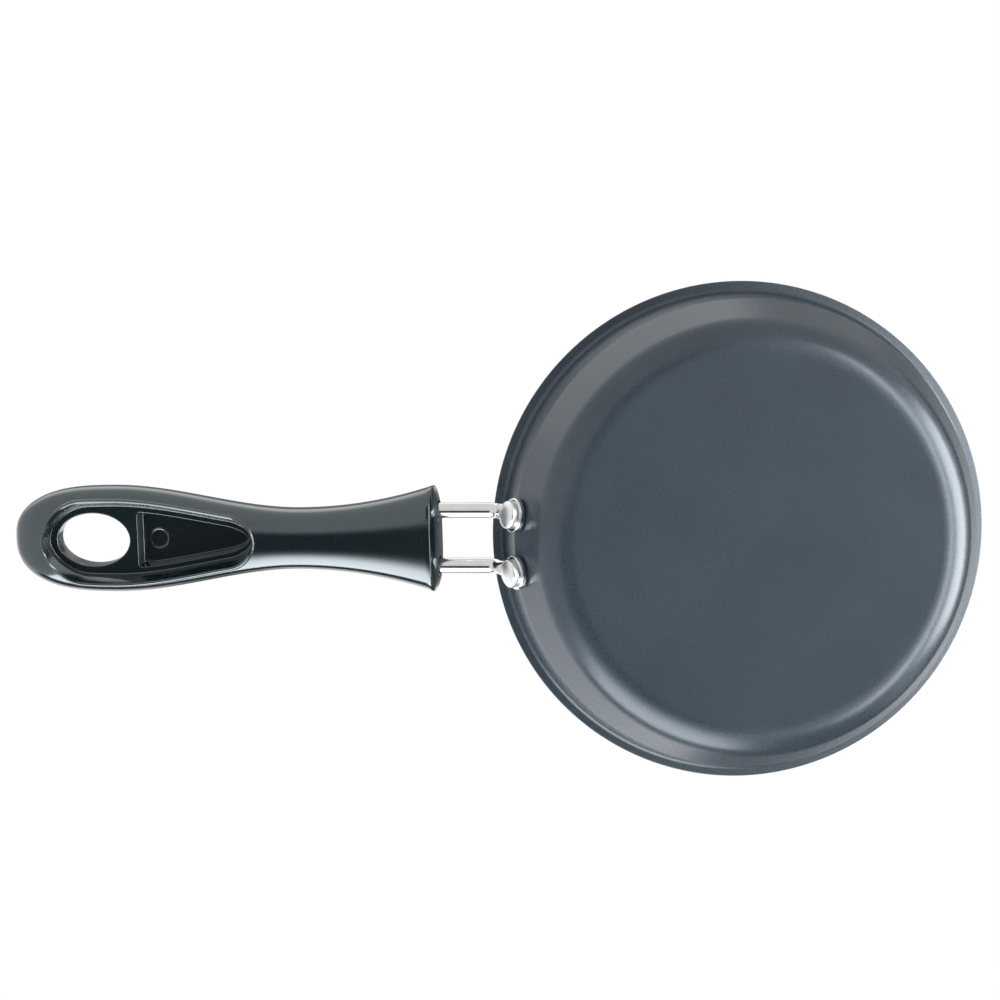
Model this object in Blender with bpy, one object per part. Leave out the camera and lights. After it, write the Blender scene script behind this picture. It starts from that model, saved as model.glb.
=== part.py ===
"""Egg pan: a small pressed steel pan on a two-pronged wire, with a moulded grip.

Metres, +Z up. The origin is the middle of the flat underside of the base. The handle
runs out towards -X and rises away from the pan.
"""
import math

import bmesh
import bpy
from mathutils import Matrix, Quaternion, Vector

MM = 0.001

# Clearance between pieces that touch
GAP = 0.3 * MM

# Pan body, sizes of the outer side of the sheet
RIM_RADIUS = 70.0 * MM
PAN_HEIGHT = 31.0 * MM
SHEET = 0.9 * MM
BASE_CORNER_RADIUS = 10.5 * MM
WALL_SLOPE = math.radians(21.0)
RIM_OVERHANG = 4.6 * MM
CREASE_RADIUS = RIM_RADIUS - RIM_OVERHANG
CREASE_HEIGHT = 18.6 * MM
CREASE_ROUNDING = 1.4 * MM
NECK_SLOPE = math.radians(8.6)
LIP_SLOPE = math.radians(12.0)
LIP_BEND_RADIUS = 1.6 * MM
PAN_SIDES = 72

# Rivets
SHANK_DIAMETER = 4.0 * MM
OUTER_HEAD_DIAMETER = 7.8 * MM
OUTER_HEAD_HEIGHT = 2.2 * MM
INNER_HEAD_DIAMETER = 7.0 * MM
INNER_HEAD_HEIGHT = 1.3 * MM
INNER_HEAD_STANDOFF = 0.85 * MM
RIVET_SIDES = 32

# Outline of each rivet head, as shares of its radius and height, from the middle outwards
OUTER_HEAD_SHAPE = ((0.0, 1.0), (0.5, 0.96), (0.82, 0.84), (0.96, 0.68), (1.0, 0.5))
INNER_HEAD_SHAPE = ((0.0, 1.0), (0.4, 1.0), (0.8, 0.8), (1.0, 0.4))

# Handle wire: one bent round bar whose two ends are pressed flat into eyes
WIRE_DIAMETER = 4.3 * MM
WIRE_SPACING = 15.6 * MM
HANDLE_RISE = math.radians(16.0)
HANDLE_ROLL = math.radians(5.0)
WIRE_CORNER_RADIUS = 5.0 * MM
WIRE_DROP = 9.5 * MM
WIRE_IN_GRIP = 13.6 * MM
WIRE_TURN_RADIUS = 7.79 * MM
EYE_DIAMETER = 9.6 * MM
EYE_THICKNESS = 1.8 * MM
EYE_SIDE_SHIFT = 0.9 * MM
EYE_BELOW_CREASE = 1.6 * MM
FLATTENED_LENGTH = 5.6 * MM
FLATTENED_THICKNESS = 1.62 * MM
FLATTENED_WIDTH = 6.2 * MM
WIRE_END_FROM_EYE_CENTRE = 4.3 * MM
WIRE_SIDES = 16
EYE_SIDES = 32

# Grip, measured along the handle from the face that the wire enters
GRIP_LENGTH = 122.3 * MM
GRIP_FROM_BEND = 15.7 * MM
FLARE_WIDTH = 29.6 * MM
WAIST_WIDTH = 17.1 * MM
TAIL_WIDTH = 30.3 * MM
WAIST_AT = 40.6 * MM
TAIL_AT = 92.6 * MM
FRONT_ROUNDING = 2.4 * MM
FRONT_INSET = 4.2 * MM
SECTION_POWER = 2.7
NOSE_POWER = 2.8
NOSE_ROOT = 0.44
NOSE_TAPER = 2.2
NOSE_TAPER_ROOT = 0.5
FRONT_SQUAT = 0.7
FRONT_INSET_POWER = 1.5
GRIP_SIDES = 36
FRONT_STATIONS = 4
BODY_STATIONS = 22
NOSE_STATIONS = 12
NOSE_SWEEP = math.radians(86.0)

# Depth of the grip below the wire's centre line, and its height above it
FLARE_BELOW = 9.2 * MM
WAIST_BELOW = 7.7 * MM
TAIL_BELOW = 8.6 * MM
FLARE_ABOVE = 7.8 * MM
WAIST_ABOVE = 6.4 * MM
TAIL_ABOVE = 5.6 * MM

# Mouths of the two bores that the wire enters
SOCKET_MOUTH_DIAMETER = 6.2 * MM
SOCKET_MOUTH_DEPTH = 0.8 * MM

# Hang hole, recess with its raised edge, and deeper pocket in the tail's underside
HOLE_LENGTH = 21.0 * MM
HOLE_WIDTH = 15.1 * MM
HOLE_FROM_TIP = 22.9 * MM
RECESS_MARGIN = 3.0 * MM
RECESS_FROM_TIP = 9.3 * MM
RECESS_LENGTH = 60.8 * MM
RECESS_RIM_DEPTH = 6.4 * MM
RECESS_FLOOR_DEPTH = 1.6 * MM
RECESS_WALL_RUN = 2.3 * MM
RECESS_TAIL_ROUNDING = 11.0 * MM
RECESS_FRONT_ROUNDING = 6.5 * MM
RECESS_EDGE_RADIUS = 0.5 * MM
POCKET_FROM_HOLE = 2.4 * MM
POCKET_LENGTH = 31.9 * MM
POCKET_WIDTH = 15.7 * MM
POCKET_TIP_WIDTH = 7.0 * MM
POCKET_ROOF = 2.0 * MM
HOLE_SIDES = 40
RECESS_STEPS = 24
POCKET_TIP_STEPS = 10
RECESS_EDGE_SIDES = 8

# Faces of the small curves, and the angle from which an edge is shaded sharp
ARC_STEP = math.radians(14.0)
SHARP_ANGLE = math.radians(35.0)

# The two sides of the handle's middle plane: towards -Y and towards +Y
SIDES = (("left", -1.0), ("right", 1.0))


def clear_scene():
    for obj in list(bpy.data.objects):
        bpy.data.objects.remove(obj, do_unlink=True)


def make_material(name, colour, roughness, metallic):
    material = bpy.data.materials.new(name)
    material.use_nodes = True
    shader = material.node_tree.nodes["Principled BSDF"]
    shader.inputs["Base Color"].default_value = (*colour, 1.0)
    shader.inputs["Roughness"].default_value = roughness
    shader.inputs["Metallic"].default_value = metallic
    return material


def add_object(name, mesh, material=None, parent=None, place=None):
    obj = bpy.data.objects.new(name, mesh)
    bpy.context.collection.objects.link(obj)
    if material:
        mesh.materials.append(material)
    if parent:
        obj.parent = parent
    if place:
        obj.matrix_local = place
    return obj


def shade(mesh):
    mesh.shade_smooth()
    mesh.set_sharp_from_angle(angle=SHARP_ANGLE)


def loft(name, rings):
    """A closed mesh through equal rings of points, with a flat cap on each end."""
    bm = bmesh.new()
    rows = [[bm.verts.new(point) for point in ring] for ring in rings]
    count = len(rows[0])
    for lower, upper in zip(rows, rows[1:]):
        for i in range(count):
            j = (i + 1) % count
            bm.faces.new((lower[i], lower[j], upper[j], upper[i]))
    bm.faces.new(rows[0])
    bm.faces.new(rows[-1])
    bmesh.ops.recalc_face_normals(bm, faces=bm.faces)
    mesh = bpy.data.meshes.new(name)
    bm.to_mesh(mesh)
    bm.free()
    shade(mesh)
    return mesh


def prism(name, outline, bottom, top):
    """A flat outline carried straight up from one height to another."""
    return loft(name, [[(x, y, z) for x, y in outline] for z in (bottom, top)])


def turns(count):
    """Equal angles round one full turn."""
    return [2.0 * math.pi * i / count for i in range(count)]


def disc_outline(length, width, sides):
    return [(length / 2 * math.cos(a), width / 2 * math.sin(a)) for a in turns(sides)]


def turned(name, profile, sides, material, place=None):
    """A profile of (radius, height) points, its outer side running down, turned about Z."""
    mesh = bpy.data.meshes.new(name)
    points = [(radius, 0.0, height) for radius, height in profile]
    mesh.from_pydata(points, [(i, i + 1) for i in range(len(points) - 1)], [])
    obj = add_object(name, mesh, material, place=place)
    screw = obj.modifiers.new("turn", "SCREW")
    screw.angle = 2.0 * math.pi
    screw.steps = sides
    screw.render_steps = sides
    screw.use_merge_vertices = True
    screw.merge_threshold = 0.01 * MM
    screw.use_smooth_shade = True
    return obj


def cut(obj, cutter, operation="DIFFERENCE"):
    cutter.hide_render = True
    cutter.display_type = "WIRE"
    boolean = obj.modifiers.new(cutter.name, "BOOLEAN")
    boolean.operation = operation
    boolean.solver = "EXACT"
    boolean.object = cutter


def round_corners(corners, radii):
    """The path through the corners, each turned into an arc of its radius."""
    path = [Vector(corners[0])]
    for before, corner, after, radius in zip(corners, corners[1:], corners[2:], radii):
        arrive = (Vector(corner) - Vector(before)).normalized()
        leave = (Vector(after) - Vector(corner)).normalized()
        turn = arrive.angle(leave)
        axis = arrive.cross(leave).normalized()
        start = Vector(corner) - arrive * radius * math.tan(turn / 2)
        centre = start + axis.cross(arrive) * radius
        steps = max(2, math.ceil(turn / ARC_STEP))
        for i in range(steps + 1):
            spin = Quaternion(axis, turn * i / steps)
            path.append(centre + spin @ (start - centre))
    path.append(Vector(corners[-1]))
    return path


def smooth_step(t):
    t = min(max(t, 0.0), 1.0)
    return t * t * (3.0 - 2.0 * t)


# Pan body


def wall_point(below_crease):
    """Radius and height on the outer side of the lower wall, along its slope."""
    return (CREASE_RADIUS - below_crease * math.sin(WALL_SLOPE),
            CREASE_HEIGHT - below_crease * math.cos(WALL_SLOPE))


def lip_corner():
    """Where the neck's line meets the underside of the lip."""
    neck = math.tan(NECK_SLOPE)
    lip = math.tan(LIP_SLOPE)
    edge_height = PAN_HEIGHT - SHEET
    rise = (edge_height - CREASE_HEIGHT - RIM_OVERHANG * lip) / (1.0 - neck * lip)
    return CREASE_RADIUS + rise * neck, CREASE_HEIGHT + rise


def body_profile():
    """The sheet's outline, from the middle of the floor over the rim to the underside."""
    base_corner = wall_point(CREASE_HEIGHT / math.cos(WALL_SLOPE))
    corners = [(0.0, 0.0), base_corner, (CREASE_RADIUS, CREASE_HEIGHT), lip_corner(),
               (RIM_RADIUS, PAN_HEIGHT - SHEET)]
    radii = [BASE_CORNER_RADIUS, CREASE_ROUNDING, LIP_BEND_RADIUS]
    outer = round_corners([(r, 0.0, z) for r, z in corners], radii)
    tangents = [(b - a).normalized() for a, b in zip(outer, outer[1:])]
    first, last = tangents[0], tangents[-1]
    mean = [first] + [(a + b).normalized() for a, b in zip(tangents, tangents[1:])] + [last]
    spread = [1.0] + [1.0 / math.cos(a.angle(b) / 2) for a, b in zip(tangents, tangents[1:])] + [1.0]
    inner = [point + Vector((-along.z, 0.0, along.x)) * SHEET * stretch
             for point, along, stretch in zip(outer, mean, spread)]
    inner[0] = Vector((0.0, 0.0, SHEET))
    return [(p.x, p.z) for p in inner] + [(p.x, p.z) for p in reversed(outer)]


def wall_frame(side):
    """Place on the outer wall under one rivet: X across, Y up the wall, Z straight out."""
    radius, height = wall_point(EYE_BELOW_CREASE)
    across = side * WIRE_SPACING / 2 + EYE_SIDE_SHIFT
    azimuth = math.asin(across / radius)
    out = Vector((-math.cos(azimuth), math.sin(azimuth), 0.0))
    up = Vector((0.0, 0.0, 1.0))
    normal = out * math.cos(WALL_SLOPE) - up * math.sin(WALL_SLOPE)
    uphill = out * math.sin(WALL_SLOPE) + up * math.cos(WALL_SLOPE)
    sideways = uphill.cross(normal)
    frame = Matrix((sideways, uphill, normal)).transposed().to_4x4()
    frame.translation = out * radius + up * height
    return frame


def make_body(steel):
    body = turned("pan_body", body_profile(), PAN_SIDES, steel)
    outline = disc_outline(SHANK_DIAMETER + 2 * GAP, SHANK_DIAMETER + 2 * GAP, RIVET_SIDES)
    for name, side in SIDES:
        drill = add_object("drill_" + name, prism("drill_" + name, outline, -4 * SHEET, 4 * SHEET),
                           place=wall_frame(side))
        cut(body, drill)


# Rivets


def rivet_profile():
    seat = 2 * GAP + EYE_THICKNESS
    under = -SHEET - INNER_HEAD_STANDOFF
    outer, shank, inner = OUTER_HEAD_DIAMETER / 2, SHANK_DIAMETER / 2, INNER_HEAD_DIAMETER / 2
    outer_head = [(wide * outer, seat + tall * OUTER_HEAD_HEIGHT) for wide, tall in OUTER_HEAD_SHAPE]
    inner_head = [(wide * inner, under - tall * INNER_HEAD_HEIGHT) for wide, tall in INNER_HEAD_SHAPE]
    middle = [(outer, seat), (shank, seat), (shank, under), (inner, under)]
    return outer_head + middle + inner_head[::-1]


def make_rivets(aluminium):
    for name, side in SIDES:
        turned("rivet_" + name, rivet_profile(), RIVET_SIDES, aluminium, place=wall_frame(side))


# Handle wire


def handle_axes():
    """The handle's own directions: out along it, across it and square up from it."""
    along = Vector((-math.cos(HANDLE_RISE), 0.0, math.sin(HANDLE_RISE)))
    level_up = Vector((math.sin(HANDLE_RISE), 0.0, math.cos(HANDLE_RISE)))
    up = Quaternion(along, -HANDLE_ROLL) @ level_up
    return along, up.cross(along), up


def wire_corner():
    """Where the straight prongs meet the run down the wall, in the middle plane."""
    radius, height = wall_point(EYE_BELOW_CREASE - WIRE_DROP)
    stand = GAP + EYE_THICKNESS / 2
    return Vector((-radius - stand * math.cos(WALL_SLOPE), 0.0, height - stand * math.sin(WALL_SLOPE)))


def eye_centre(side):
    return wall_frame(side) @ Vector((0.0, 0.0, GAP + EYE_THICKNESS / 2))


def wire_path():
    """Centre line from one eye through the grip to the other, and each eye's direction."""
    along, across, _ = handle_axes()
    bend_end = along * (GRIP_FROM_BEND + WIRE_IN_GRIP + WIRE_SPACING / 2)
    offsets = [across * -side * WIRE_SPACING / 2 for _, side in SIDES]
    bends = [wire_corner() + offset for offset in offsets]
    ends = [bend + bend_end for bend in bends]
    eyes = [eye_centre(side) for _, side in SIDES]
    corners = [eyes[0], bends[0], ends[0], ends[1], bends[1], eyes[1]]
    radii = [WIRE_CORNER_RADIUS, WIRE_TURN_RADIUS, WIRE_TURN_RADIUS, WIRE_CORNER_RADIUS]
    return round_corners(corners, radii)


def fill_in(path, step):
    """The same path with more points on its long straight runs."""
    dense = [path[0]]
    for a, b in zip(path, path[1:]):
        parts = max(1, round((b - a).length / step))
        dense.extend(a.lerp(b, i / parts) for i in range(1, parts + 1))
    return dense


def wire_rings(path, radius, flat_thickness, flat_width, starts_flat):
    """Rings round the path: flattened near its two ends and round elsewhere."""
    lengths = [0.0]
    for a, b in zip(path, path[1:]):
        lengths.append(lengths[-1] + (b - a).length)
    first = path[1] - path[0]
    side = starts_flat.cross(first).normalized()
    rings = []
    for i, point in enumerate(path):
        before, after = path[max(i - 1, 0)], path[min(i + 1, len(path) - 1)]
        tangent = (after - before).normalized()
        side = (side - tangent * side.dot(tangent)).normalized()
        up = tangent.cross(side)
        from_end = min(lengths[i], lengths[-1] - lengths[i])
        swell = smooth_step(from_end / FLATTENED_LENGTH)
        half_thick = flat_thickness / 2 + (radius - flat_thickness / 2) * swell
        half_wide = flat_width / 2 + (radius - flat_width / 2) * swell
        rings.append([point + side * half_wide * math.cos(a) + up * half_thick * math.sin(a)
                      for a in turns(WIRE_SIDES)])
    return rings


def shortened(path, length):
    """The path with a length taken off each end."""
    head = (path[1] - path[0]).normalized() * length
    tail = (path[-2] - path[-1]).normalized() * length
    return [path[0] + head] + path[1:-1] + [path[-1] + tail]


def make_wire(bright_steel):
    spine = fill_in(shortened(wire_path(), WIRE_END_FROM_EYE_CENTRE), WIRE_DIAMETER / 2)
    normal = wall_frame(SIDES[0][1]).to_3x3() @ Vector((0.0, 0.0, 1.0))
    rings = wire_rings(spine, WIRE_DIAMETER / 2, FLATTENED_THICKNESS, FLATTENED_WIDTH, normal)
    wire = add_object("handle_wire", loft("handle_wire", rings), bright_steel)
    disc = disc_outline(EYE_DIAMETER, EYE_DIAMETER, EYE_SIDES)
    bore = disc_outline(SHANK_DIAMETER + 2 * GAP, SHANK_DIAMETER + 2 * GAP, RIVET_SIDES)
    for name, side in SIDES:
        eye = add_object("eye_" + name, prism("eye_" + name, disc, GAP, GAP + EYE_THICKNESS),
                         place=wall_frame(side))
        cut(wire, eye, "UNION")
    for name, side in SIDES:
        punch = add_object("punch_" + name, prism("punch_" + name, bore, -SHEET, 3 * EYE_THICKNESS),
                           place=wall_frame(side))
        cut(wire, punch)


# Grip, in its own frame: X out along the handle from its front face, Z square up


def grip_frame():
    along, across, up = handle_axes()
    frame = Matrix((along, across, up)).transposed().to_4x4()
    frame.translation = wire_corner() + along * GRIP_FROM_BEND
    return frame


def along_grip(x, at_flare, at_waist, at_tail):
    """A size that runs from the flare down to the waist and up again to the tail."""
    if x < WAIST_AT:
        share = (WAIST_AT - x) / (WAIST_AT - FRONT_ROUNDING)
        return at_waist + (at_flare - at_waist) * share * share
    return at_waist + (at_tail - at_waist) * smooth_step((x - WAIST_AT) / (TAIL_AT - WAIST_AT))


def front_inset(x):
    return FRONT_INSET * max(0.0, 1.0 - x / FRONT_ROUNDING) ** FRONT_INSET_POWER


def nose(x, power, root):
    share = max(0.0, (x - TAIL_AT) / (GRIP_LENGTH - TAIL_AT))
    return max(0.0, 1.0 - share ** power) ** root


def half_width(x):
    inner = max(x, FRONT_ROUNDING)
    width = along_grip(inner, FLARE_WIDTH, WAIST_WIDTH, TAIL_WIDTH) / 2
    return (width - front_inset(x)) * nose(x, NOSE_POWER, NOSE_ROOT)


def reach(x, at_flare, at_waist, at_tail):
    """Depth or height of the grip from the wire's centre line, thinning to the nose."""
    full = along_grip(max(x, FRONT_ROUNDING), at_flare, at_waist, at_tail)
    return (full - FRONT_SQUAT * front_inset(x)) * nose(x, NOSE_TAPER, NOSE_TAPER_ROOT)


def depth_below(x):
    return reach(x, FLARE_BELOW, WAIST_BELOW, TAIL_BELOW)


def height_above(x):
    return reach(x, FLARE_ABOVE, WAIST_ABOVE, TAIL_ABOVE)


def underside(x, y):
    """Height of the grip's underside, before anything is cut from it."""
    wide = min(abs(y) / half_width(x), 1.0)
    return -depth_below(x) * (1.0 - wide ** SECTION_POWER) ** (1.0 / SECTION_POWER)


def grip_ring(x):
    """An oval with squarish sides, deeper below the wire's centre line than above it."""
    wide, low, high = half_width(x), depth_below(x), height_above(x)
    ring = []
    for turn in turns(GRIP_SIDES):
        y = math.copysign(abs(math.cos(turn)) ** (2.0 / SECTION_POWER), math.cos(turn)) * wide
        tall = high if math.sin(turn) > 0.0 else low
        z = math.copysign(abs(math.sin(turn)) ** (2.0 / SECTION_POWER), math.sin(turn)) * tall
        ring.append((x, y, z))
    return ring


def grip_stations():
    front = [FRONT_ROUNDING * i / FRONT_STATIONS for i in range(FRONT_STATIONS)]
    body_length = TAIL_AT - FRONT_ROUNDING
    body = [FRONT_ROUNDING + body_length * i / BODY_STATIONS for i in range(BODY_STATIONS)]
    nose_length = GRIP_LENGTH - TAIL_AT
    sweep = [NOSE_SWEEP * i / NOSE_STATIONS for i in range(NOSE_STATIONS + 1)]
    return front + body + [TAIL_AT + nose_length * math.sin(a) for a in sweep]


def recess_outline(inset=0.0):
    """The recess's edge seen square on, or a line that far inside it."""
    tail = GRIP_LENGTH - RECESS_FROM_TIP - inset
    front = GRIP_LENGTH - RECESS_FROM_TIP - RECESS_LENGTH + inset
    upper = []
    for i in range(RECESS_STEPS + 1):
        x = (front + tail) / 2 - (tail - front) / 2 * math.cos(math.pi * i / RECESS_STEPS)
        y = half_width(x) - RECESS_MARGIN - inset
        for distance, radius in ((x - front, RECESS_FRONT_ROUNDING), (tail - x, RECESS_TAIL_ROUNDING)):
            if distance < radius:
                y *= math.sqrt(max(0.0, 1.0 - (1.0 - distance / radius) ** 2))
        upper.append((x, y))
    return upper + [(x, -y) for x, y in reversed(upper[1:-1])]


def pocket_outline():
    wall = GRIP_LENGTH - HOLE_FROM_TIP - HOLE_LENGTH / 2 - POCKET_FROM_HOLE
    tip_radius = POCKET_TIP_WIDTH / 2
    tip = wall - POCKET_LENGTH + tip_radius
    half_turn = [math.pi / 2 + math.pi * i / POCKET_TIP_STEPS for i in range(POCKET_TIP_STEPS + 1)]
    rounded = [(tip + tip_radius * math.cos(a), tip_radius * math.sin(a)) for a in half_turn]
    return [(wall, POCKET_WIDTH / 2)] + rounded + [(wall, -POCKET_WIDTH / 2)]


def edge_rings():
    """Rings of the thin raised edge that runs round the recess."""
    outline = recess_outline()
    path = [Vector((x, y, underside(x, y))) for x, y in outline]
    up = Vector((0.0, 0.0, 1.0))
    rings = []
    for i, point in enumerate(path):
        tangent = (path[(i + 1) % len(path)] - path[i - 1]).normalized()
        side = tangent.cross(up).normalized()
        rise = side.cross(tangent)
        rings.append([point + (side * math.cos(a) + rise * math.sin(a)) * RECESS_EDGE_RADIUS
                      for a in turns(RECESS_EDGE_SIDES)])
    return rings


def closed_tube(name, rings):
    """A tube through rings of points whose last ring joins the first."""
    bm = bmesh.new()
    rows = [[bm.verts.new(point) for point in ring] for ring in rings]
    for row, following in zip(rows, rows[1:] + rows[:1]):
        for i in range(len(row)):
            j = (i + 1) % len(row)
            bm.faces.new((row[i], row[j], following[j], following[i]))
    bmesh.ops.recalc_face_normals(bm, faces=bm.faces)
    mesh = bpy.data.meshes.new(name)
    bm.to_mesh(mesh)
    bm.free()
    return mesh


def make_grip(phenolic):
    frame = bpy.data.objects.new("handle_frame", None)
    bpy.context.collection.objects.link(frame)
    frame.matrix_world = grip_frame()
    grip = add_object("grip", loft("grip", [grip_ring(x) for x in grip_stations()]), phenolic, frame)
    clear_below = -2 * TAIL_BELOW
    raised_edge = add_object("raised_edge", closed_tube("raised_edge", edge_rings()), parent=frame)
    cut(grip, raised_edge, "UNION")
    levels = ((clear_below, 0.0), (-RECESS_RIM_DEPTH, 0.0), (-RECESS_FLOOR_DEPTH, RECESS_WALL_RUN))
    rings = [[(x, y, z) for x, y in recess_outline(RECESS_EDGE_RADIUS + inset)] for z, inset in levels]
    cut(grip, add_object("recess", loft("recess", rings), parent=frame))
    pocket = prism("pocket", pocket_outline(), clear_below, TAIL_ABOVE - POCKET_ROOF)
    cut(grip, add_object("pocket", pocket, parent=frame))
    hole_at = GRIP_LENGTH - HOLE_FROM_TIP
    oval = [(x + hole_at, y) for x, y in disc_outline(HOLE_LENGTH, HOLE_WIDTH, HOLE_SIDES)]
    cut(grip, add_object("hang_hole", prism("hang_hole", oval, clear_below, -clear_below), parent=frame))
    mouth = disc_outline(SOCKET_MOUTH_DIAMETER, SOCKET_MOUTH_DIAMETER, EYE_SIDES)
    for name, side in SIDES:
        rings = [[(x, y + side * WIRE_SPACING / 2, z) for y, z in mouth]
                 for x in (-SOCKET_MOUTH_DEPTH, SOCKET_MOUTH_DEPTH)]
        cut(grip, add_object("mouth_" + name, loft("mouth_" + name, rings), parent=frame))
    entry = frame.matrix_world.inverted()
    path = fill_in(wire_path(), WIRE_DIAMETER / 2)
    inside = [point for point in path if (entry @ point).x > -WIRE_DIAMETER]
    bore = WIRE_DIAMETER + 2 * GAP
    rings = wire_rings(inside, bore / 2, bore, bore, handle_axes()[2])
    channel = loft("wire_channel", rings)
    cut(grip, add_object("wire_channel", channel))


def main():
    clear_scene()
    steel = make_material("coated_steel", (0.075, 0.1, 0.125), 0.42, 0.0)
    bright_steel = make_material("bright_wire", (0.62, 0.62, 0.6), 0.22, 1.0)
    aluminium = make_material("rivet_aluminium", (0.66, 0.67, 0.68), 0.38, 1.0)
    phenolic = make_material("black_phenolic", (0.012, 0.014, 0.017), 0.2, 0.0)
    make_body(steel)
    make_rivets(aluminium)
    make_wire(bright_steel)
    make_grip(phenolic)


main()
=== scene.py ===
"""Egg pan: the dressed model, its finishes and its studio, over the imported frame.

Metres, +Z up out of the bowl, the handle running out towards -X. Every new piece is a grid of
points worked out from a formula, and the grids that share an edge are joined into one closed skin.
"""
import math

import bmesh
import bpy
import numpy as np
from bpy.props import FloatProperty, FloatVectorProperty, PointerProperty
from mathutils import Matrix, Vector
from mathutils.geometry import delaunay_2d_cdt


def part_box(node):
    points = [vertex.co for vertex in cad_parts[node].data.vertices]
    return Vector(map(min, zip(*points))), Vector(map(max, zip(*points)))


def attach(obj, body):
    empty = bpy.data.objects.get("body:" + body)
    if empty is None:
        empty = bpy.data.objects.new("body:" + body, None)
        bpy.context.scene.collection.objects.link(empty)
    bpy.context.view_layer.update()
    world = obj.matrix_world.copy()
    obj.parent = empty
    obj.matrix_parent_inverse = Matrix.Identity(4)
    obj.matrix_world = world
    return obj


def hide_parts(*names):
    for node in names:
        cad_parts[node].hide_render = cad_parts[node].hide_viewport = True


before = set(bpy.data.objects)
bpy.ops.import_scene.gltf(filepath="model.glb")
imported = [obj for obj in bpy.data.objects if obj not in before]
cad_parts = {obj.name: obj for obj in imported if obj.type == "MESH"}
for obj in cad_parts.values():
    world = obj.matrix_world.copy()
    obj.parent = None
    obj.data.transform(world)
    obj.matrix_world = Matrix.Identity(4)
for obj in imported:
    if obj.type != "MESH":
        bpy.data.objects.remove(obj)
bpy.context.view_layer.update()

bl_info = {
    "name": "Egg pan",
    "version": (1, 0, 0),
    "blender": (4, 5, 0),
    "location": "3D View > Sidebar > Egg pan",
    "description": "Builds a small riveted egg pan, its finishes and a plain studio",
    "category": "Object",
}

MM = 0.001
PAN_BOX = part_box("pan_body")

# Fineness of the new surfaces
PAN_SIDES = 288
RIVET_SIDES = 72
BORE_SIDES = 48
MARK_SIDES = 32
ARC_STEP = math.radians(5.0)
BEAD_ARC_STEP = math.radians(15.0)
SHELL_STEP = 3.0 * MM
WIRE_STEP = 0.45 * MM
DOME_POINTS = 28
EYE_POINTS = 15
QUADRANT_POINTS = 8
EDGE_POINTS = 8
FILLET_POINTS = 7
POCKET_POINTS = 44
SKIN_POINTS = 30
SKIN_GATHERING = 1.35
HOLE_RUN = 60
# Sections in each run along the grip: its front edge, on to the recess, the recess's round
# front, on to the hang hole, beside the hole, behind it, and round the tip
GRIP_RUNS = (12, 36, 16, 26, HOLE_RUN, 12, 34)
WELD = 0.5e-3 * MM
TINY = 1e-9

# Small roundings, and forms too fine for the panel
SHEET_EDGE = 0.3 * MM
EYE_EDGE = 0.5 * MM
EYE_RUN = 5.4 * MM
EYE_TURN = 4.0 * EYE_RUN
EYE_BLEND = 8.0
PRESS_START = 4.4 * MM
PRESS_LENGTH = 4.4 * MM
PRESSED_WIDTH = 4.8 * MM
OUTER_HEAD_FALL = 0.4
INNER_HEAD_FALL = 0.6
SECTION_POWER = 2.7
NOSE_POWER = 2.8
NOSE_ROOT = 0.44
NOSE_TAPER = 2.2
NOSE_TAPER_ROOT = 0.5
FRONT_INSET = 3.8 * MM
FRONT_INSET_POWER = 1.5
FRONT_SQUAT = 0.7
FEATURE_SHIFT = -0.28 * MM
RECESS_FRONT_ROUNDING = 6.5 * MM
RECESS_TAIL_ROUNDING = 11.0 * MM
RECESS_FRONT_SHARE = 0.6
RECESS_TAIL_SHARE = 0.4
RECESS_DEPTH = 4.8 * MM
RECESS_FOOT = 0.45 * MM
RECESS_FOOT_ROUNDING = 0.4 * MM
BEAD_OVERLAP = 0.5 * MM
BEAD_TOP = 0.3 * MM
BEAD_HEIGHT = 0.55 * MM
BEAD_ROUNDING = 0.15 * MM
BEAD_FOOT = (0.55 * MM, -0.1 * MM)
HOLE_TOP_ROUNDING = 0.35 * MM
HOLE_EDGE = 0.25 * MM
HOLE_MARGIN = 1.5 * HOLE_EDGE
POCKET_CORNER = 0.9 * MM
POCKET_FILLET = 0.35 * MM
POCKET_MARGIN = 1.4 * POCKET_FILLET
POCKET_DRAFT = 0.25 * MM
MARK_PLACE = (81.0 * MM, -0.7 * MM)
MARK_RADIUS = 2.65 * MM
MARK_HEIGHT = 0.12 * MM
MARK_STEP = 0.15 * MM
MOUTH_EDGE = 0.12 * MM

# Grains and marks in the finishes; a run of noise is the part of it that a pattern spreads out
GRAIN_DEPTH = 0.02 * MM
PRESS_MARK_DEPTH = 0.03 * MM
NOISE_MIDDLE = (0.3, 0.7)
CLOUD_MIDDLE = (0.35, 0.65)
COATING_SPECKS = (0.42, 0.46, 0.50)
LINING_SPECKS = (0.20, 0.20, 0.21)
DUST = (0.20, 0.20, 0.20)
# The grip's front face was cut: how squarely a place has to look forward for the matt finish to
# begin and to be whole, how much duller it is, and the clear coat that only the rest has
CUT_LOOK = (0.93, 0.98)
CUT_DULLNESS = 0.6
GRIP_COAT = 0.6


def length(name, description, default):
    return FloatProperty(name=name, description=description, default=default, min=0.0,
                         unit="LENGTH", precision=4)


def angle(name, description, degrees):
    return FloatProperty(name=name, description=description, default=math.radians(degrees),
                         subtype="ANGLE")


def share(name, description, default):
    return FloatProperty(name=name, description=description, default=default, min=0.0, max=1.0,
                         subtype="FACTOR")


def colour(name, description, default):
    return FloatVectorProperty(name=name, description=description, default=default, size=3,
                               min=0.0, max=1.0, subtype="COLOR")


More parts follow.
